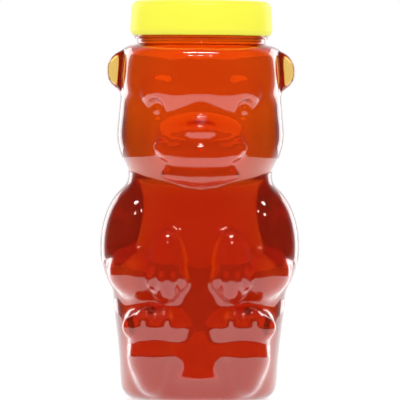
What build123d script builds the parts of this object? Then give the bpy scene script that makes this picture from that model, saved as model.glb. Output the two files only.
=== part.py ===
from build123d import *
import os
from math import asin, cos, sqrt

# Honey bear jar: a clear blow-moulded bear full of honey, closed by a yellow screw cap with a liner.
# Millimetres, +Z up. The bear faces -Y, and the origin is on the table under the neck's axis.

os.makedirs("parts", exist_ok=True)

# Neck finish, for a 63 mm wide-mouth screw cap
neck_height = 18.0
neck_diameter = 60.4
neck_wall = 1.6
neck_root_radius = 1.2
neck_edge_radius = 0.5
bead_rise = 2.3
bead_thickness = 1.4
bead_stand_out = 1.1

# Screw cap and the liner disc inside its top
thread_room = 1.45
cap_wall = 1.6
cap_top_thickness = 1.3
cap_corner_radius = 4.0
cap_hem_width = 1.3
cap_hem_height = 2.2
cap_hem_gap = 0.4
liner_thickness = 1.0
liner_side_gap = 0.4

# Moulded wall, and the room that the honey leaves
body_wall = 0.8
headspace = 8.0

# Head and torso
crease_height = 106.4
shoulder_height = 166.0
head_width = 78.4
head_depth = 69.6
shoulder_radius = 4.0
torso_width = 83.2
torso_depth = 72.0
heel_radius = 9.0
base_recess_width = 42.0
base_recess_rise = 3.0
overlap = 8.0

# Ears
ear_diameter = 20.4
ear_thickness = 12.0
ear_stand_out = 5.1

# Face, with how far each form stands out of the head
muzzle_width = 40.0
muzzle_height = 26.0
muzzle_stand_out = 7.6
bill_width = 45.0
bill_height = 14.0
bill_stand_out = 8.4
chin_width = 40.0
chin_height = 16.0
chin_stand_out = 4.0
nose_width = 19.6
nose_height = 9.4
nose_stand_out = 9.2
nose_seat = 2.0
face_root = 7.0
eye_spacing = 41.0
eye_socket_width = 8.4
eye_socket_depth = 1.8
eye_diameter = 4.4

# Arms and feet, with how far each form stands out of the torso
arm_width = 44.4
arm_length = 60.0
arm_depth = 50.0
arm_stand_out = 5.2
forearm_width = 36.0
forearm_height = 32.0
forearm_stand_out = 2.0
paw_width = 20.6
paw_length = 36.0
paw_spacing = 31.0
paw_stand_out = 5.0
foot_width = 32.6
foot_length = 39.0
foot_spacing = 42.0
foot_stand_out = 5.2
limb_root = 10.0

# Ovals of the torso and of the head: shares of the height, of the width and of the depth
torso_shares = (
    (0.00, 0.880, 0.870),
    (0.20, 0.915, 0.925),
    (0.37, 0.970, 0.975),
    (0.53, 1.000, 1.000),
    (0.68, 0.976, 0.970),
    (0.80, 0.887, 0.885),
    (0.91, 0.805, 0.805),
    (1.00, 0.740, 0.760),
)
head_shares = (
    (0.00, 0.770, 0.780),
    (0.12, 0.860, 0.860),
    (0.23, 0.945, 0.945),
    (0.35, 1.000, 0.995),
    (0.53, 0.978, 1.000),
    (0.74, 0.950, 0.985),
    (0.90, 0.943, 0.975),
    (1.00, 0.938, 0.970),
)

# Levels of the face and ears, as shares of the height from crease to shoulder
ear_level_share = 0.79
eye_level_share = 0.48
eye_bead_level_share = 0.50
nose_level_share = 0.315
muzzle_level_share = 0.285
bill_level_share = 0.17
chin_level_share = 0.05

# Levels of the arms and feet, as shares of the crease height
arm_level_share = 0.695
forearm_level_share = 0.583
paw_level_share = 0.588
foot_level_share = 0.235


# A unit ball stretched to its half sizes, at its centre
def lump(centre, half_sizes):
    with BuildPart() as ball:
        Sphere(1)
        scale(by=half_sizes)
    return ball.part.moved(Location(centre))


# A smooth body through level ovals
def oval_stack(shares, width, depth, low, high, inset):
    with BuildPart() as stack:
        for height_share, width_share, depth_share in shares:
            with BuildSketch(Plane.XY.offset(low + height_share * (high - low))):
                Ellipse(width_share * width / 2 - inset, depth_share * depth / 2 - inset)
        loft()
    return stack.part


def torso_body(inset):
    with BuildPart() as torso:
        add(oval_stack(torso_shares, torso_width, torso_depth, inset, crease_height + overlap, inset))
        fillet(torso.faces().sort_by(Axis.Z)[0].edges(), heel_radius - inset)
        recess_centre = (0, 0, -base_recess_rise)
        recess_depth = base_recess_width * torso_depth / torso_width
        add(
            lump(
                recess_centre,
                (
                    base_recess_width / sqrt(3) + inset,
                    recess_depth / sqrt(3) + inset,
                    2 * base_recess_rise + inset,
                ),
            ),
            mode=Mode.SUBTRACT,
        )
    return torso.part


def head_body(inset):
    with BuildPart() as head:
        low = crease_height - overlap
        add(oval_stack(head_shares, head_width, head_depth, low, shoulder_height - inset, inset))
        fillet(head.faces().sort_by(Axis.Z)[-1].edges(), shoulder_radius - inset)
    return head.part


# A level between the crease and the shoulder
def face_level(share):
    return crease_height + share * (shoulder_height - crease_height)


# A form on the front of the head or torso, rooted in it and standing out of its deepest oval
def front_lump(x, level, width, height, stand_out, root, body_depth, inset):
    centre = (x, root - body_depth / 2, level)
    return lump(centre, (width / 2 - inset, root + stand_out - inset, height / 2 - inset))


def face_lumps(inset):
    forms = (
        (muzzle_level_share, muzzle_width, muzzle_height, muzzle_stand_out, face_root),
        (bill_level_share, bill_width, bill_height, bill_stand_out, face_root),
        (chin_level_share, chin_width, chin_height, chin_stand_out, face_root),
        (nose_level_share, nose_width, nose_height, nose_stand_out, -nose_seat),
    )
    return [
        front_lump(0, face_level(share), width, height, stand_out, root, head_depth, inset)
        for share, width, height, stand_out, root in forms
    ]


def side_lumps(side, inset):
    ear = lump(
        (side * (head_width / 2 + ear_stand_out - ear_diameter / 2), 0, face_level(ear_level_share)),
        (ear_diameter / 2 - inset, ear_thickness / 2 - inset, ear_diameter / 2 - inset),
    )
    arm_x = side * (torso_width / 2 + arm_stand_out - arm_width / 2)
    arm = lump(
        (arm_x, (arm_depth - torso_depth) / 4, arm_level_share * crease_height),
        (arm_width / 2 - inset, arm_depth / 2 - inset, arm_length / 2 - inset),
    )
    forms = (
        (arm_x, forearm_level_share, forearm_width, forearm_height, forearm_stand_out),
        (side * paw_spacing / 2, paw_level_share, paw_width, paw_length, paw_stand_out),
        (side * foot_spacing / 2, foot_level_share, foot_width, foot_length, foot_stand_out),
    )
    return [ear, arm] + [
        front_lump(x, share * crease_height, width, height, stand_out, limb_root, torso_depth, inset)
        for x, share, width, height, stand_out in forms
    ]


# A place on the head's front at one side of the face, some way out along the surface's normal
def on_face(side, level_share, out):
    x = side * eye_spacing / 2
    turn = asin(x / (head_width / 2))
    normal = Vector(x / head_width**2, -cos(turn) / (2 * head_depth), 0).normalized()
    return Vector(x, -cos(turn) * head_depth / 2, face_level(level_share)) + normal * out


# The bear's whole moulded form: the outside at no inset, the cavity at an inset of the wall
def bear_form(inset):
    socket_radius = (eye_socket_width**2 / 4 + eye_socket_depth**2) / (2 * eye_socket_depth)
    with BuildPart() as form:
        add([torso_body(inset), head_body(inset)] + face_lumps(inset))
        add(side_lumps(-1, inset) + side_lumps(1, inset))
        with Locations([on_face(side, eye_level_share, socket_radius - eye_socket_depth) for side in (-1, 1)]):
            Sphere(socket_radius + inset, mode=Mode.SUBTRACT)
    return form.part


neck_radius = neck_diameter / 2
neck_start = shoulder_height - 2 * shoulder_radius
rim_height = shoulder_height + neck_height
bead_bottom = shoulder_height + bead_rise
bead_top = bead_bottom + bead_thickness
bead_radius = neck_radius + bead_stand_out

with BuildPart() as neck:
    with BuildSketch(Plane.XZ) as neck_profile:
        with BuildLine():
            root = CenterArc(
                (neck_radius + neck_root_radius, shoulder_height + neck_root_radius), neck_root_radius, 180, 90
            )
            Polyline(
                root @ 1,
                (neck_radius + neck_root_radius, neck_start),
                (0, neck_start),
                (0, rim_height),
                (neck_radius, rim_height),
                (neck_radius, bead_top),
                (bead_radius, bead_top),
                (bead_radius, bead_bottom),
                (neck_radius, bead_bottom),
                root @ 0,
            )
        make_face()
        corners = neck_profile.vertices()
        fillet(corners.filter_by(lambda v: v.Y > shoulder_height and v.X > neck_radius), neck_edge_radius)
    revolve(axis=Axis.Z)
    fillet(neck.faces().sort_by(Axis.Z)[-1].edges(), neck_edge_radius)

with BuildPart() as cavity:
    add(bear_form(body_wall))
    with BuildSketch(Plane.XY.offset(neck_start)):
        Circle(neck_radius - neck_wall)
    extrude(amount=rim_height - neck_start)

with BuildPart() as bottle:
    add([bear_form(0), neck.part])
    eye_half_sizes = (eye_diameter / 2, eye_diameter / 2, eye_diameter / 2)
    add([lump(on_face(side, eye_bead_level_share, -eye_socket_depth), eye_half_sizes) for side in (-1, 1)])
    add(cavity.part, mode=Mode.SUBTRACT)
bottle.part.label = "bottle"
export_step(bottle.part, "parts/bottle.step")

with BuildPart() as honey:
    add(cavity.part)
    split(bisect_by=Plane.XY.offset(rim_height - headspace), keep=Keep.BOTTOM)
honey.part.label = "honey"
export_step(honey.part, "parts/honey.step")

cap_bore_radius = neck_radius + thread_room
cap_bottom = bead_top + cap_hem_gap
liner_top = rim_height + liner_thickness
with BuildPart() as screw_cap:
    with BuildSketch(Plane.XY.offset(cap_bottom)):
        Circle(cap_bore_radius + cap_wall)
    extrude(amount=liner_top + cap_top_thickness - cap_bottom)
    fillet(screw_cap.faces().sort_by(Axis.Z)[-1].edges(), cap_corner_radius)
    chamfer(screw_cap.faces().sort_by(Axis.Z)[0].edges(), cap_hem_height, cap_hem_width)
    with BuildSketch(Plane.XY.offset(cap_bottom)):
        Circle(cap_bore_radius)
    extrude(amount=liner_top - cap_bottom, mode=Mode.SUBTRACT)
screw_cap.part.label = "screw_cap"
export_step(screw_cap.part, "parts/screw_cap.step")

with BuildPart() as cap_liner:
    with BuildSketch(Plane.XY.offset(rim_height)):
        Circle(cap_bore_radius - liner_side_gap)
    extrude(amount=liner_thickness)
cap_liner.part.label = "cap_liner"
export_step(cap_liner.part, "parts/cap_liner.step")
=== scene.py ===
from math import cos, pi, radians, sin, sqrt
import bpy
from mathutils import Matrix, Vector


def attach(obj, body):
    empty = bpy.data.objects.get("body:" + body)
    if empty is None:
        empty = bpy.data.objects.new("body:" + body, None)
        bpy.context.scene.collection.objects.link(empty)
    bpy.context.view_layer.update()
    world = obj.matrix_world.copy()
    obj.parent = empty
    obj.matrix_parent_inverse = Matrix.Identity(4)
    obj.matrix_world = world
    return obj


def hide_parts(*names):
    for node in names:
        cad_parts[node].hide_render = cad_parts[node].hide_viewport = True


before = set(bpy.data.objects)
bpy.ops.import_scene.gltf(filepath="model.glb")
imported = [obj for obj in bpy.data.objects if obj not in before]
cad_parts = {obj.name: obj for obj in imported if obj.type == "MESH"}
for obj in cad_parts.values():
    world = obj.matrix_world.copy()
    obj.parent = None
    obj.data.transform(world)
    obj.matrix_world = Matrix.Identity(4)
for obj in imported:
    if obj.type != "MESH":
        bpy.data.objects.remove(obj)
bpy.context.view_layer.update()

mm = 0.001
scene = bpy.context.scene


# Small tools, in millimetres unless a line says otherwise

def clearSelection():
    if bpy.context.object and bpy.context.object.mode == "EDIT":
        bpy.ops.object.mode_set(mode="OBJECT")
    bpy.ops.object.select_all(action="DESELECT")


def pick(*pieces):                       # the first one becomes the active object
    clearSelection()
    for piece in pieces:
        piece.select_set(True)
    bpy.context.view_layer.objects.active = pieces[0]
    return pieces[0]


def settle(piece):                       # place and size go into the mesh
    pick(piece)
    bpy.ops.object.transform_apply(location=True, rotation=True, scale=True)
    return piece


def finishMesh(piece, name, angle):      # edges sharper than the angle, in degrees, stay sharp
    pick(piece)
    bpy.ops.object.mode_set(mode="EDIT")
    bpy.ops.mesh.select_all(action="SELECT")
    bpy.ops.mesh.normals_make_consistent(inside=False)
    bpy.ops.object.mode_set(mode="OBJECT")
    bpy.ops.object.shade_smooth_by_angle(angle=radians(angle))
    piece.name = piece.data.name = name


def modify(piece, kind, **settings):
    pick(piece)
    modifier = piece.modifiers.new(kind.title(), kind)
    for key, value in settings.items():
        setattr(modifier, key, value)
    bpy.ops.object.modifier_apply(modifier=modifier.name)


def copyOf(piece, name):
    twin = piece.copy()
    twin.data = piece.data.copy()
    twin.name = name
    scene.collection.objects.link(twin)
    return twin


def combine(piece, other, operation):
    modify(piece, "BOOLEAN", operation=operation, object=other, solver="MANIFOLD")
    bpy.data.objects.remove(other, do_unlink=True)
    return piece


def oneSkin(pieces, voxel, rounds):      # melts several closed forms into one even skin
    piece = pick(*pieces)
    if len(pieces) > 1:
        bpy.ops.object.join()
    modify(piece, "REMESH", mode="VOXEL", voxel_size=voxel * mm)
    modify(piece, "SMOOTH", factor=0.5, iterations=rounds)
    return piece


def ball(centre, size, turn=(0, 0, 0), segments=48):     # size is the full width, depth and height
    clearSelection()
    bpy.ops.mesh.primitive_uv_sphere_add(
        segments=segments, ring_count=segments // 2, radius=0.5 * mm,
        location=[v * mm for v in centre], rotation=[radians(v) for v in turn], scale=size)
    return settle(bpy.context.object)


def tower(rows, segments=96):            # rings of half width and half depth, from the bottom up
    clearSelection()
    low, wide, deep = rows[0]
    bpy.ops.mesh.primitive_circle_add(vertices=segments, radius=mm, location=(0, 0, low * mm))
    piece = settle(bpy.context.object)
    bpy.ops.object.mode_set(mode="EDIT")
    bpy.ops.mesh.select_all(action="SELECT")
    bpy.ops.transform.resize(value=(wide, deep, 1), center_override=(0, 0, low * mm))
    for level, nextWide, nextDeep in rows[1:]:
        bpy.ops.mesh.extrude_region_move(TRANSFORM_OT_translate={"value": (0, 0, (level - low) * mm)})
        growth = (nextWide / wide, nextDeep / deep, 1)
        bpy.ops.transform.resize(value=growth, center_override=(0, 0, level * mm))
        low, wide, deep = level, nextWide, nextDeep
    bpy.ops.mesh.select_all(action="SELECT")
    bpy.ops.mesh.fill_holes(sides=0)
    bpy.ops.mesh.normals_make_consistent(inside=False)
    bpy.ops.object.mode_set(mode="OBJECT")
    return piece


def lathe(profile, segments=192):        # profile of (radius, height), both ends get a lid
    return tower([(height, radius, radius) for radius, height in profile], segments)


def corner(radius, height, size, start, end, steps):     # an arc of a lathe profile, about its centre
    turns = [radians(start + (end - start) * step / steps) for step in range(steps + 1)]
    return [(radius + size * cos(turn), height + size * sin(turn)) for turn in turns]


def along(table, share):                 # a smooth value between the rows of a table of shares
    last = len(table) - 1
    place = max(k for k in range(last) if table[k][0] <= share or k == 0)
    a, b, c, d = (table[min(max(k, 0), last)] for k in (place - 1, place, place + 1, place + 2))
    t = (share - b[0]) / (c[0] - b[0])
    values = []
    for column in (1, 2):
        inSlope = (c[column] - a[column]) / (c[0] - a[0]) * (c[0] - b[0])
        outSlope = (d[column] - b[column]) / (d[0] - b[0]) * (c[0] - b[0])
        values.append(
            (2 * t**3 - 3 * t**2 + 1) * b[column] + (t**3 - 2 * t**2 + t) * inSlope
            + (3 * t**2 - 2 * t**3) * c[column] + (t**3 - t**2) * outSlope)
    return values


# The bear's body: torso and head are towers of ovals, all other forms are stretched balls
torso = {
    "width": 83.2, "depth": 71.8, "low": 0.0, "high": 114.4, "heel": 7.5,
    "recessWidth": 42.0, "recessOval": 0.87, "recessRise": 3.0,
    "ovals": ((0.00, 0.880, 0.996), (0.20, 0.915, 0.998), (0.37, 0.970, 1.000), (0.53, 1.000, 1.000),
              (0.68, 0.976, 0.970), (0.80, 0.887, 0.885), (0.91, 0.805, 0.805), (1.00, 0.740, 0.760)),
}
head = {
    "width": 78.4, "depth": 69.6, "low": 98.4, "high": 166.0, "shoulder": 4.0,
    "ovals": ((0.00, 0.770, 0.800), (0.12, 0.860, 0.930), (0.22, 0.945, 1.000), (0.35, 1.000, 1.000),
              (0.53, 0.978, 1.000), (0.74, 0.950, 0.985), (0.90, 0.943, 0.975), (1.00, 0.938, 0.970)),
}
rings = {"count": 72, "bends": 9, "apart": 0.8}


def bodyRows(form, edge, atTop):         # even rings, with one rounded end
    rise = form["high"] - form["low"]
    levels = [form["low"] + rise * step / rings["count"] for step in range(rings["count"] + 1)]
    turns = [radians(90 * step / rings["bends"]) for step in range(rings["bends"] + 1)]
    if edge == 0:
        bends = []
    elif atTop:
        bends = [(form["high"] - edge + edge * sin(turn), edge * (1 - cos(turn))) for turn in turns]
        levels = [level for level in levels if level < form["high"] - edge - rings["apart"]]
    else:
        bends = [(form["low"] + edge - edge * sin(turn), edge * (1 - cos(turn))) for turn in turns]
        levels = [level for level in levels if level > form["low"] + edge + rings["apart"]]
    rows = []
    for level, pull in sorted([(level, 0) for level in levels] + bends):
        wideShare, deepShare = along(form["ovals"], (level - form["low"]) / rise)
        rows.append((level, form["width"] / 2 * wideShare - pull, form["depth"] / 2 * deepShare - pull))
    return rows


bodyForms = {                            # centre, full size and turn in degrees, mirrored for the left
    "arm": ((31.0, -5.0, 74.5), (31.2, 47.0, 55.0), (0, -5, 0)),
    "forearm": ((24.5, -21.5, 59.0), (37.0, 31.5, 27.6), (0, -12, 0)),
    "forefoot": ((20.4, -25.0, 35.0), (30.0, 32.0, 20.0), (0, 0, 0)),
    "heelPad": ((20.4, -25.0, 21.5), (26.0, 31.0, 30.0), (0, 0, 0)),
    "heel": ((20.4, -25.0, 13.0), (19.0, 28.0, 22.0), (0, 0, 0)),
    "browMound": ((16.5, -30.2, 143.4), (25.0, 12.0, 19.0), (21, 0, 24)),
}
brow = {
    "width": 64.0, "depth": 66.8, "low": 135.0, "high": 164.0, "across": 5.0, "forward": 4.5,
    "ovals": ((0.00, 0.800, 0.800), (0.10, 0.900, 0.900), (0.25, 0.970, 0.970), (0.42, 1.000, 1.000),
              (0.75, 0.985, 0.985), (0.92, 0.950, 0.950), (1.00, 0.870, 0.870)),
}
muzzle = ((0, -20.8, 123.8), (46.0, 41.2, 23.0), (0, 0, 0))
faceForms = {
    "bill": ((0, -36.0, 115.2), (38.0, 14.6, 15.0), (0, 0, 0)),
    "leftBill": ((-12.6, -33.2, 116.6), (19.6, 12.6, 10.8), (0, 14, 0)),
    "rightBill": ((12.6, -33.2, 116.6), (19.6, 12.6, 10.8), (0, -14, 0)),
    "chin": ((0, -34.4, 105.8), (38.0, 12.8, 11.6), (0, 0, 0)),
    "nose": ((0, -36.6, 125.8), (19.0, 14.0, 9.0), (0, 0, 0)),
}
ear = {"across": 34.1, "level": 153.5, "size": 20.4, "thick": 11.5, "bulge": 15.5, "block": 40}
paw = ((14.8, -34.2, 63.0), (19.8, 18.4, 35.0), (0, 0, 0))
fingers = {"count": 4, "size": (5.2, 7.0, 13.0), "rise": 7.2, "reach": -13.0, "step": 20, "seat": 2.6}
toes = {"count": 4, "size": (9.8, 13.0, 11.4), "rise": -9.0, "reach": 13.4, "step": 34, "seat": 5.2}
eye = {"across": 20.4, "level": 135.0, "socket": 8.4, "deep": 1.8, "bead": 4.8, "beadLevel": 135.4}
skin = {"rough": (1.5, 6), "middle": (1.1, 5), "fine": (1.08, 3)}      # voxel size and rounds of smoothing


def bothSides(forms):
    made = []
    for side in (-1, 1):
        for centre, size, turn in forms:
            made.append(ball((centre[0] * side, centre[1], centre[2]), size,
                             (turn[0], turn[1] * side, turn[2] * side)))
    return made


def fanned(small, carrier):              # lumps on an arc, sunk into the front of a larger one
    (x, y, z), (width, depth, height), _ = carrier
    reach = small["reach"]
    made = []
    for k in range(small["count"]):
        turn = (k - (small["count"] - 1) / 2) * small["step"]
        across = abs(reach) * sin(radians(turn))
        rise = small["rise"] + reach * cos(radians(turn))
        bulge = sqrt(1 - (2 * across / width) ** 2 - (2 * rise / height) ** 2)
        made.append(((x + across, y - bulge * depth / 2 + small["seat"], z + rise), small["size"],
                     (0, turn * reach / abs(reach) / 2, 0)))
    return made


def makeEar(side):                       # a disc with a domed face on both sides
    place = (ear["across"] * side, 0, ear["level"])
    disc = ball(place, (ear["size"], 2 * ear["bulge"], ear["size"]))
    clearSelection()
    block = (ear["block"], ear["thick"], ear["block"])
    bpy.ops.mesh.primitive_cube_add(size=mm, location=[v * mm for v in place], scale=block)
    return combine(disc, settle(bpy.context.object), "INTERSECT")


def onFace(side, level, out):            # a point some way out along the face's normal
    width, depth = head["width"] / 2, head["depth"] / 2
    x = side * eye["across"]
    y = -depth * sqrt(1 - (x / width) ** 2)
    slope = Vector((x / width**2, y / depth**2, 0)).normalized()
    return Vector((x, y, level)) + slope * out


def makeTrunk():                         # torso, head, brow ledge, muzzle, arms and feet
    lower = tower(bodyRows(torso, torso["heel"], False))
    recessWide = 2 * torso["recessWidth"] / sqrt(3)
    recess = (recessWide, recessWide * torso["recessOval"], 4 * torso["recessRise"])
    combine(lower, ball((0, 0, -torso["recessRise"]), recess), "DIFFERENCE")
    brows = []
    for side in (-1, 1):
        half = tower(bodyRows(brow, 0, True))
        half.location = (side * brow["across"] * mm, -brow["forward"] * mm, 0)
        brows.append(settle(half))
    upper = tower(bodyRows(head, head["shoulder"], True))
    return oneSkin([lower, upper, ball(*muzzle)] + brows + bothSides(bodyForms.values()), *skin["rough"])


def makeBearSkin():                      # the trunk with the finer forms
    trunk = makeTrunk()
    feet = bothSides(fanned(toes, bodyForms["forefoot"]))
    ears = [makeEar(side) for side in (-1, 1)]
    face = [ball(*form) for form in faceForms.values()]
    bear = oneSkin([trunk] + face + ears + bothSides([paw]) + feet, *skin["middle"])
    socket = (eye["socket"] ** 2 / 4 + eye["deep"] ** 2) / eye["deep"]
    for side in (-1, 1):
        combine(bear, ball(onFace(side, eye["level"], socket / 2 - eye["deep"]), [socket] * 3), "DIFFERENCE")
    beads = [ball(onFace(side, eye["beadLevel"], -eye["deep"]), [eye["bead"]] * 3, segments=24)
             for side in (-1, 1)]
    hands = bothSides(fanned(fingers, paw))
    return oneSkin([bear] + beads + hands, *skin["fine"])


outside = bpy.data.materials.new("clearPolyester")
wetted = bpy.data.materials.new("wettedPolyester")       # the cavity's wall under the fill line
inWall = bpy.data.materials.new("amberHoney")            # the honey where it meets the wall
openTop = bpy.data.materials.new("honeyTop")             # the honey's surface


def coat(piece, materials, second=(0, 0)):               # the second material between two levels
    piece.data.materials.clear()
    for material in materials:
        piece.data.materials.append(material)
    for face in piece.data.polygons:
        face.material_index = int(second[0] * mm < face.center.z < second[1] * mm)
    return piece


bearSkin = coat(makeBearSkin(), (outside, wetted))
print("bear skin", len(bearSkin.data.polygons))

# The bottle: the bear's skin with a threaded neck, hollow inside
neck = {"radius": 30.2, "bore": 28.6, "start": 158.0, "shoulder": 166.0, "rim": 184.0, "root": 1.2,
        "rootRing": 0.01, "bead": 31.3, "beadLow": 168.3, "beadHigh": 169.7, "edge": 0.5, "cut": 2.0}
thread = {"lead": 4.2333, "turns": 1.6, "low": 172.6, "stand": 1.15, "foot": 1.5, "crest": 0.55,
          "sink": 0.4, "steps": 160, "capStand": -1.0, "capLow": 174.7}     # the cap's ridge stands inwards
wall = {"thickness": 0.8, "voxel": 1.3, "rounds": 2}


def neckProfile():
    r, edge = neck["radius"], neck["edge"]
    return (
        [(r + neck["root"], neck["start"])]
        + [(r + neck["root"], neck["shoulder"] - neck["rootRing"])]
        + corner(r + neck["root"], neck["shoulder"] + neck["root"], neck["root"], -90, -180, 5)
        + [(r, neck["beadLow"])]
        + corner(neck["bead"] - edge, neck["beadLow"] + edge, edge, -90, 0, 4)
        + corner(neck["bead"] - edge, neck["beadHigh"] - edge, edge, 0, 90, 4)
        + [(r, neck["beadHigh"])]
        + corner(r - edge, neck["rim"] - edge, edge, 0, 90, 4)
    )


def helix(radius, stand, low):           # a trapezoid ridge, sunk a little and wound by the Screw modifier
    crest, root = radius + stand, radius - thread["sink"] * (1 if stand > 0 else -1)
    clearSelection()
    middle = ((root + crest) / 2 * mm, 0, low * mm)
    bpy.ops.mesh.primitive_plane_add(size=mm, location=middle, rotation=(-pi / 2, 0, 0))
    piece = bpy.context.object
    piece.scale = (crest - root, 2 * thread["foot"], 1)
    settle(piece)
    bpy.ops.object.mode_set(mode="EDIT")
    bpy.ops.mesh.select_all(action="DESELECT")
    bpy.ops.object.mode_set(mode="OBJECT")
    for point in piece.data.vertices:
        point.select = abs(point.co.x - crest * mm) < abs(point.co.x - root * mm)
    bpy.ops.object.mode_set(mode="EDIT")
    taper = (1, 1, thread["crest"] / thread["foot"])
    bpy.ops.transform.resize(value=taper, center_override=(crest * mm, 0, low * mm))
    bpy.ops.mesh.select_all(action="SELECT")
    bpy.ops.mesh.delete(type="ONLY_FACE")
    bpy.ops.object.mode_set(mode="OBJECT")
    turns, steps = thread["turns"], thread["steps"]
    modify(piece, "SCREW", axis="Z", angle=2 * pi * turns, screw_offset=thread["lead"] * turns * mm,
           steps=steps, render_steps=steps, use_merge_vertices=False)
    bpy.ops.object.mode_set(mode="EDIT")
    bpy.ops.mesh.select_all(action="SELECT")
    bpy.ops.mesh.fill_holes(sides=0)
    bpy.ops.mesh.normals_make_consistent(inside=False)
    bpy.ops.object.mode_set(mode="OBJECT")
    return piece


# The honey fills the cavity, reaches a little into the wall and climbs up the neck's wall at its edge
filling = {"level": 176.0, "meniscus": 0.9, "overlap": 0.4, "flat": 4.0, "innerRing": 11.6, "band": 0.01,
           "climb": ((0.3, 0.45), (0.8, 0.75), (1.8, 0.95))}     # way in from the wall, share of the fall

cavity = copyOf(bearSkin, "cavity")
modify(cavity, "DISPLACE", strength=-wall["thickness"] * mm, mid_level=0.0)
modify(cavity, "REMESH", mode="VOXEL", voxel_size=wall["voxel"] * mm)
modify(cavity, "SMOOTH", factor=0.5, iterations=wall["rounds"])
honey = copyOf(cavity, "honeyFill")
boreLevels = (neck["start"], filling["level"], neck["rim"] + neck["cut"])
combine(cavity, lathe([(neck["bore"], level) for level in boreLevels]), "UNION")
coat(cavity, (outside, wetted), (0, filling["level"]))
bottle = combine(bearSkin, coat(lathe(neckProfile()), (outside, wetted)), "UNION")
combine(bottle, helix(neck["radius"], thread["stand"], thread["low"]), "UNION")
combine(bottle, cavity, "DIFFERENCE")
finishMesh(bottle, "clearBear", 40)
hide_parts("bottle")
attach(bottle, "bottle")
print("bottle", len(bottle.data.polygons))


def honeyColumn():
    bore, top, rise = neck["bore"], filling["level"], filling["meniscus"]
    side = [(bore + filling["overlap"], neck["start"]), (bore + filling["overlap"], top)]
    climb = [(bore - inward, top - share * rise) for inward, share in filling["climb"]]
    surface = [(bore - inward, top - rise) for inward in (filling["flat"], filling["innerRing"])]
    return lathe(side + climb + surface, segments=128)


modify(honey, "DISPLACE", strength=filling["overlap"] * mm, mid_level=0.0)
combine(honey, honeyColumn(), "UNION")
surfaceLow = filling["level"] - filling["meniscus"] - filling["band"]
coat(honey, (inWall, openTop), (surfaceLow, neck["rim"]))
finishMesh(honey, "honeyFill", 50)
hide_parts("honey")
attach(honey, "bottle")
print("honey", len(honey.data.polygons))

# The yellow cap and the foam disc in it
cap = {"low": 170.1, "top": 186.3, "ceiling": 185.0, "bore": 31.65, "skirt": 33.25, "shoulder": 32.75,
       "corner": 4.0, "hemWidth": 1.3, "hemHeight": 2.2, "lipWidth": 0.1, "lipHeight": 0.5,
       "bendIn": 0.12, "bendLow": 0.25, "bendHigh": 0.3, "innerRing": 14.0}
liner = {"low": 184.0, "high": 185.0, "radius": 31.25, "innerRing": 10.0, "edge": 0.2, "lowEdge": 0.25,
         "groove": 0.08, "grooveIn": 0.4, "grooveOut": 0.3}        # the rim's groove in the foam


def makeCap():
    bore, skirt, low, top = cap["bore"], cap["skirt"], cap["low"], cap["top"]
    lip, hem, edge = cap["lipWidth"], low + cap["hemHeight"], cap["shoulder"] - cap["corner"]
    inside = [(bore - cap["innerRing"], cap["ceiling"]), (bore, cap["ceiling"]),
              (bore, low + cap["lipHeight"])]
    foot = [(bore + lip, low + lip), (skirt - cap["hemWidth"], low)]
    side = [(skirt - cap["bendIn"], hem - cap["bendLow"]), (skirt, hem + cap["bendHigh"]),
            (cap["shoulder"], top - cap["corner"])]
    lid = corner(edge, top - cap["corner"], cap["corner"], 8, 90, 9) + [(edge - cap["innerRing"], top)]
    return lathe(inside + foot + side + lid, segments=256)


def makeLiner():
    low, high, radius, edge = liner["low"], liner["high"], liner["radius"], liner["edge"]
    pressed = low + liner["groove"]
    under = [(liner["innerRing"], low), (neck["bore"] - liner["grooveIn"], low), (neck["bore"], pressed),
             (neck["radius"], pressed), (neck["radius"] + liner["grooveOut"], low), (radius - edge, low)]
    over = [(radius, low + liner["lowEdge"]), (radius, high - edge), (radius - edge, high),
            (liner["innerRing"], high)]
    return lathe(under + over, segments=160)


screwCap = makeCap()
combine(screwCap, helix(cap["bore"], thread["capStand"], thread["capLow"]), "UNION")
finishMesh(screwCap, "yellowCap", 40)
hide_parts("screw_cap")
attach(screwCap, "cap")

capLiner = makeLiner()
finishMesh(capLiner, "foamLiner", 40)
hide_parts("cap_liner")
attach(capLiner, "liner")
print("cap and liner")


class Wire:                              # a socket that shader maths can be written with
    def __init__(self, paint, socket):
        self.paint = paint
        self.socket = socket

    def join(self, operation, first, second):
        return self.paint.node("ShaderNodeMath", {"operation": operation}, {0: first, 1: second})

    def __add__(self, other):
        return self.join("ADD", self, other)

    __radd__ = __add__

    def __sub__(self, other):
        return self.join("SUBTRACT", self, other)

    def __rsub__(self, other):
        return self.join("SUBTRACT", other, self)

    def __mul__(self, other):
        return self.join("MULTIPLY", self, other)

    __rmul__ = __mul__


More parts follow.
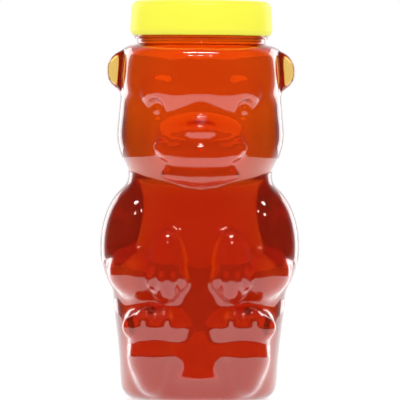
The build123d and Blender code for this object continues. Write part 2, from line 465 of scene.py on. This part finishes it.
class Paint:                             # the node tree of one material, or of the world
    def __init__(self, owner):
        owner.use_nodes = True
        self.tree = owner.node_tree
        self.tree.nodes.clear()

    def node(self, kind, settings=None, values=None, out=0):
        made = self.tree.nodes.new(kind)
        for key, value in (settings or {}).items():
            setattr(made, key, value)
        for key, value in (values or {}).items():
            if isinstance(value, Wire):
                self.tree.links.new(value.socket, made.inputs[key])
            else:
                made.inputs[key].default_value = value
        return Wire(self, made.outputs[out]) if made.outputs else None

    def place(self):                                     # where on the piece, in metres
        return self.node("ShaderNodeTexCoord", out=3)

    def axes(self, vector):                              # its x, y and z
        outputs = self.node("ShaderNodeSeparateXYZ", {}, {0: vector}).socket.node.outputs
        return [Wire(self, outputs[k]) for k in range(3)]

    def rays(self, *kinds):                              # for each kind, 1 where the ray is of it
        outputs = self.node("ShaderNodeLightPath").socket.node.outputs
        return [Wire(self, outputs["Is " + kind + " Ray"]) for kind in kinds]

    def between(self, value, low, high):                 # from 0 at low to 1 at high, smoothly
        return self.node("ShaderNodeMapRange", {"interpolation_type": "SMOOTHSTEP"},
                         {"Value": value, "From Min": low, "From Max": high})

    def blend(self, fac, first, second):                 # of two colours
        return self.node("ShaderNodeMix", {"data_type": "RGBA"}, {0: fac, 6: first, 7: second}, 2)

    def noise(self, place, scale, detail):
        return self.node("ShaderNodeTexNoise", {}, {"Vector": place, "Scale": scale, "Detail": detail})

    def bump(self, height, strength, depth):
        return self.node("ShaderNodeBump", {}, {"Strength": strength, "Distance": depth, "Height": height})

    def cover(self, **shaders):                          # what the material shows
        self.node("ShaderNodeOutputMaterial", {}, shaders)


def newMaterial(name, piece):
    material = bpy.data.materials.new(name)
    piece.data.materials.clear()
    piece.data.materials.append(material)
    return Paint(material)


def grey(level):
    return (level, level, level, 1)


clearWall = {
    "colour": (0.985, 0.99, 0.99, 1), "ior": 1.5, "roughness": 0.015, "coat": 1.0, "coatRoughness": 0.02,
    "rippleScale": 90.0, "rippleStrength": 0.12, "rippleDepth": 0.0004,
}


def paintWall(material, wet):            # a wet wall is see-through and leaves its look to the honey
    paint = Paint(material)
    ripple = paint.noise(paint.place(), clearWall["rippleScale"], detail=2.0)
    paint.cover(Surface=paint.node("ShaderNodeBsdfPrincipled", {}, {
        "Base Color": clearWall["colour"], "Roughness": clearWall["roughness"], "IOR": clearWall["ior"],
        "Transmission Weight": 1.0, "Coat Weight": 0.0 if wet else clearWall["coat"],
        "Coat Roughness": clearWall["coatRoughness"], "Coat IOR": clearWall["ior"],
        "Alpha": 0.0 if wet else 1.0,
        "Normal": paint.bump(ripple, clearWall["rippleStrength"], clearWall["rippleDepth"])}))


honeyLook = {                            # metres; two levels or distances are where a change begins and ends
    "ior": 1.48, "inWallIor": 1.001, "roughness": 0.02, "absorbPerMetre": (1.6, 39.0, 165.0),
    # the belly tint is painted shade: it darkens the honey's colour in the lower middle of the body
    "bellyShadeLevel": (0.116, 0.094), "bellyShadeAcross": (0.034, 0.026), "bellyShadeTint": (0.6, 0.2, 0.5, 1),
    # the cheek and temple tints are painted shade on the sides of the head, darkest at the cheeks
    "faceShadeLevel": (0.100, 0.106), "faceShadeAcross": (0.017, 0.027), "cheekShadeLevel": (0.138, 0.127),
    "cheekShadeTint": (0.64, 0.55, 0.5, 1), "templeShadeTint": (0.84, 0.74, 0.8, 1),
    "earLevel": (0.140, 0.143), "earAcross": (0.0365, 0.0385), "headLevel": (0.116, 0.130),
    "haze": 0.26, "hazeColour": (0.85, 0.115, 0.03, 1), "earClear": 0.75, "headClear": 0.4,
    "streakScale": 35.0, "streakLow": 0.8, "streakSpan": 0.4,
}


def paintHoney(material, ior):           # darker with painted shade in the belly and beside the face, clearer in head and ears
    paint = Paint(material)
    place = paint.place()
    sideways, _, height = paint.axes(place)

    def level(name):
        return paint.between(height, *honeyLook[name])

    def across(name):                    # alike on both sides
        first, last = honeyLook[name]
        return paint.between(sideways * sideways, first**2, last**2)

    inEar = across("earAcross") * level("earLevel")
    # painted shade beside the face, left out of the ears: darker at the cheeks, less dark at the temples
    shadeBesideFace = across("faceShadeAcross") * level("faceShadeLevel") * (1 - inEar)
    faceSideShade = paint.blend(level("cheekShadeLevel"), honeyLook["templeShadeTint"], honeyLook["cheekShadeTint"])
    shadedTint = paint.blend(shadeBesideFace, grey(1), faceSideShade)
    # the tints paint shade into the honey's colour: the belly tint in the lower middle, the side tint beside
    # the face
    clear = paint.node("ShaderNodeBsdfPrincipled", {}, {
        "Base Color": paint.blend(level("bellyShadeLevel") * across("bellyShadeAcross"), shadedTint, honeyLook["bellyShadeTint"]),
        "Roughness": honeyLook["roughness"], "IOR": ior, "Transmission Weight": 1.0})
    absorb = honeyLook["absorbPerMetre"]
    density = max(absorb)
    fog = paint.node("ShaderNodeVolumeAbsorption", {}, {
        "Color": tuple(1 - v / density for v in absorb) + (1,), "Density": density})
    streaks = paint.noise(place, honeyLook["streakScale"], detail=3.0)
    haze = paint.node("ShaderNodeBsdfDiffuse", {}, {"Color": honeyLook["hazeColour"]})
    thickness = (
        honeyLook["haze"] * (honeyLook["streakLow"] + honeyLook["streakSpan"] * streaks)
        * (1 - honeyLook["earClear"] * inEar) * (1 - honeyLook["headClear"] * level("headLevel")))
    paint.cover(Surface=paint.node("ShaderNodeMixShader", {}, {0: thickness, 1: clear, 2: haze}), Volume=fog)


paintWall(outside, False)
paintWall(wetted, True)
paintHoney(inWall, honeyLook["inWallIor"])
paintHoney(openTop, honeyLook["ior"])

capLook = {
    "colour": (0.965, 0.925, 0.045, 1), "pale": (0.975, 0.935, 0.055, 1), "roughness": 0.42,
    "cloudScale": 60.0, "cloudRough": 0.06, "grainScale": 1500.0, "grainStrength": 0.08, "grainDepth": 0.0002,
    "scatter": 0.15, "scatterRadii": (1.0, 0.8, 0.2), "scatterReach": 0.002,
}
paint = newMaterial("yellowPolypropylene", screwCap)
place = paint.place()
cloud = paint.noise(place, capLook["cloudScale"], detail=3.0)
grain = paint.noise(place, capLook["grainScale"], detail=2.0)
paint.cover(Surface=paint.node("ShaderNodeBsdfPrincipled", {}, {
    "Base Color": paint.blend(cloud, capLook["colour"], capLook["pale"]),
    "Roughness": capLook["roughness"] + capLook["cloudRough"] * (cloud - 0.5),
    "Subsurface Weight": capLook["scatter"], "Subsurface Radius": capLook["scatterRadii"],
    "Subsurface Scale": capLook["scatterReach"],
    "Normal": paint.bump(grain, capLook["grainStrength"], capLook["grainDepth"])}))

foamLook = {
    "dark": (0.9, 0.9, 0.88, 1), "pale": (0.96, 0.96, 0.94, 1), "roughness": 0.75,
    "cellScale": 1800.0, "cellStrength": 0.35, "cellDepth": 0.0002,
}
paint = newMaterial("whiteFoam", capLiner)
cells = paint.node("ShaderNodeTexVoronoi", {}, {"Vector": paint.place(), "Scale": foamLook["cellScale"]})
paint.cover(Surface=paint.node("ShaderNodeBsdfPrincipled", {}, {
    "Base Color": paint.blend(cells, foamLook["dark"], foamLook["pale"]), "Roughness": foamLook["roughness"],
    "Normal": paint.bump(cells, foamLook["cellStrength"], foamLook["cellDepth"])}))
print("materials")

# The studio: a white table that glows, and a white room that mirrored and bent rays see darker round its
# bright backdrop
studio = {
    "tableFront": -0.24, "tableBack": 1.3, "tableSide": 0.32, "tableGrey": 0.7, "tableGlow": 0.62,
    "edgeBand": 0.05, "edgeGrey": 0.1, "backdropEdge": 0.45, "backdropFull": 0.95, "dark": 0.02,
    "room": 0.3, "roomEdge": -0.5, "roomFull": 0.0, "ambient": 0.97,
}
lamps = (                                # name, place, aim, size, watts, and whether it shines through glass
    ("overheadBox", (0.0, -0.52, 1.52), (0, 0, 0.1), (0.45, 0.14), 4.2, True),
    ("frontBox", (0.0, -1.45, 1.6), (0, 0, 0.1), (0.2, 0.1), 1.3, True),
    ("sideBox", (-0.75, 1.0, 0.3), (0, 0, 0.09), (0.4, 0.8), 1.6, False),
    ("sideBox", (0.75, 1.0, 0.3), (0, 0, 0.09), (0.4, 0.8), 1.6, False),
)
camera = {"distance": 3.2, "height": 0.127, "aim": 0.0933, "focal": 616.0, "roll": 0.44, "sensor": 36,
          "reach": 20}
bounces = {"max_bounces": 48, "transmission_bounces": 48, "glossy_bounces": 48, "transparent_max_bounces": 96}

clearSelection()
bpy.ops.mesh.primitive_plane_add(size=1)
table = bpy.context.object
table.name = "tableTop"
table.scale = (2 * studio["tableSide"], studio["tableBack"] - studio["tableFront"], 1)
table.location = (0, (studio["tableBack"] + studio["tableFront"]) / 2, 0)
settle(table)
paint = newMaterial("whiteTable", table)
_, depthways, _ = paint.axes(paint.place())
nearEdge = paint.between(depthways, studio["tableFront"], studio["tableFront"] + studio["edgeBand"])
seen, = paint.rays("Camera")             # the camera sees the table white up to its edge
glow = paint.node("ShaderNodeEmission", {}, {
    "Color": paint.blend(seen + (1 - seen) * nearEdge, grey(studio["edgeGrey"]), grey(1)),
    "Strength": studio["tableGlow"]})
diffuse = paint.node("ShaderNodeBsdfDiffuse", {}, {"Color": grey(studio["tableGrey"])})
paint.cover(Surface=paint.node("ShaderNodeAddShader", {}, {0: diffuse, 1: glow}))

world = bpy.data.worlds.new("studio")
scene.world = world
paint = Paint(world)
seen, mirror, through = paint.rays("Camera", "Glossy", "Transmission")
direction = paint.node("ShaderNodeTexCoord", out=0)
_, depthways, _ = paint.axes(direction)
behind = paint.between(depthways, studio["backdropEdge"], studio["backdropFull"])
around = paint.between(depthways, studio["roomEdge"], studio["roomFull"])
mirrored = studio["dark"] + (1 - studio["dark"]) * behind
bent = studio["room"] + (1 - studio["room"]) * around
other = mirror * mirrored + (1 - mirror) * studio["ambient"]
light = seen + (1 - seen) * (through * bent + (1 - through) * other)
paint.node("ShaderNodeOutputWorld", {}, {
    "Surface": paint.node("ShaderNodeBackground", {}, {"Color": grey(1), "Strength": light})})

for name, place, aim, size, watts, throughGlass in lamps:
    lamp = bpy.data.lights.new(name, "AREA")
    lamp.shape = "RECTANGLE"
    lamp.size, lamp.size_y = size
    lamp.energy = watts
    holder = bpy.data.objects.new(name, lamp)
    holder.location = place
    holder.rotation_euler = (Vector(aim) - Vector(place)).to_track_quat("-Z", "Y").to_euler()
    holder.visible_transmission = throughGlass
    scene.collection.objects.link(holder)

lens = bpy.data.cameras.new("photoCamera")
lens.lens = camera["focal"]
lens.sensor_width = camera["sensor"]
lens.clip_end = camera["reach"]
photoCamera = bpy.data.objects.new("photoCamera", lens)
photoCamera.location = (0, -camera["distance"], camera["height"])
gaze = (Vector((0, 0, camera["aim"])) - photoCamera.location).to_track_quat("-Z", "Y")
roll = Matrix.Rotation(radians(camera["roll"]), 3, "Z")
photoCamera.rotation_euler = (gaze.to_matrix() @ roll).to_euler()
scene.collection.objects.link(photoCamera)
scene.camera = photoCamera

scene.view_settings.view_transform = "Standard"
for kind, count in bounces.items():
    setattr(scene.cycles, kind, count)
